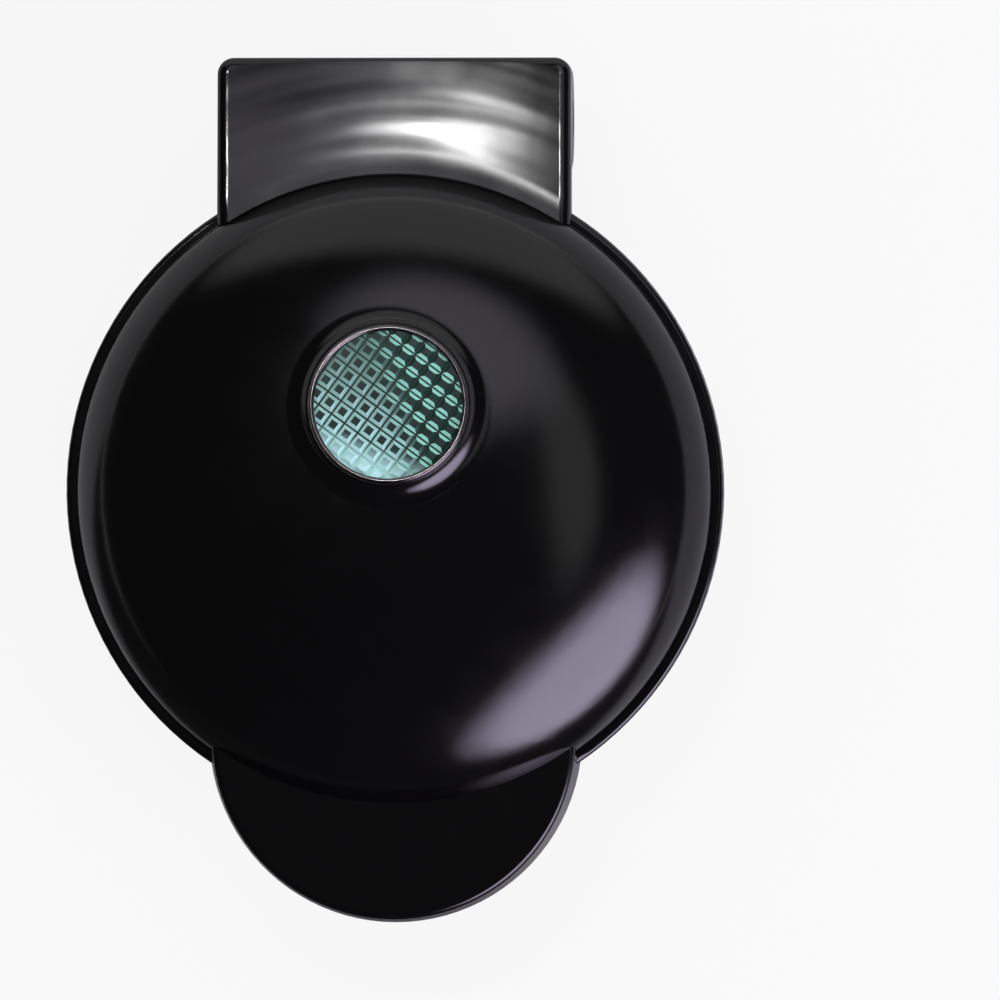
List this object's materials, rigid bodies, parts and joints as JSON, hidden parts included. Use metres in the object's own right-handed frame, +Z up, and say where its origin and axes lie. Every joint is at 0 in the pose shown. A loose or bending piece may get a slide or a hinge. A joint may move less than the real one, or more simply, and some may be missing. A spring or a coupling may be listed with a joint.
{
  "type": "mini waffle maker",
  "caption": "Small round countertop waffle maker: domed lid with handle tongue and round indicator lens, hinged at the rear over a bowl-shaped base, with square-pegged plates inside.",
  "frame": {"origin": "on the table, midway between handle tip and hinge block, under the axis of the dome", "axes": "+Z up, +Y to the hinge at the back, +X to the right seen from the handle"},
  "size_m": [0.127, 0.1672, 0.0699],
  "materials": {
    "black_gloss": "glossy black moulding",
    "black_frame": "satin black heat-resistant moulding",
    "nonstick": "dark non-stick coating on cast aluminium",
    "steel": "plated steel",
    "aluminium": "mill-finish sheet",
    "bezel": "bright ring",
    "lens": "translucent teal-green prismatic lens",
    "lamp_glass": "clear glass",
    "white_plastic": "white moulding",
    "wire": "woven sleeve",
    "rubber": "black rubber"
  },
  "bodies": {
    "lid": {"lid_shell": "black_gloss", "lid_frame": "black_frame", "upper_plate": "nonstick", "upper_heater": "steel", "upper_heater_clamps": "steel", "upper_clamp_screws": "steel", "upper_reflector": "aluminium", "upper_plate_screws": "steel", "lid_screws": "steel", "lens_bezel": "bezel", "indicator_lens": "lens", "lamp_holder": "white_plastic", "indicator_lamp": "lamp_glass", "lid_harness": "wire", "left_hinge_pin": "steel", "right_hinge_pin": "steel"},
    "base": {"base_shell": "black_gloss", "base_frame": "black_frame", "lower_plate": "nonstick", "lower_heater": "steel", "lower_heater_clamps": "steel", "lower_clamp_screws": "steel", "lower_reflector": "aluminium", "base_screws": "steel", "thermostat": "white_plastic", "thermal_fuse": "steel", "terminal_block": "white_plastic", "rear_cover": "black_frame", "cord_gland": "black_frame", "base_harness": "wire", "thermostat_leads": "wire", "front_left_foot": "rubber", "front_right_foot": "rubber", "rear_left_foot": "rubber", "rear_right_foot": "rubber"}
  },
  "joints": [
    {"name": "lid_hinge", "type": "hinge", "parent": "base", "child": "lid", "pos_m": [0, 0.072, 0.027], "axis": [-1, 0, 0], "range_deg": [0, 100]}
  ]
}
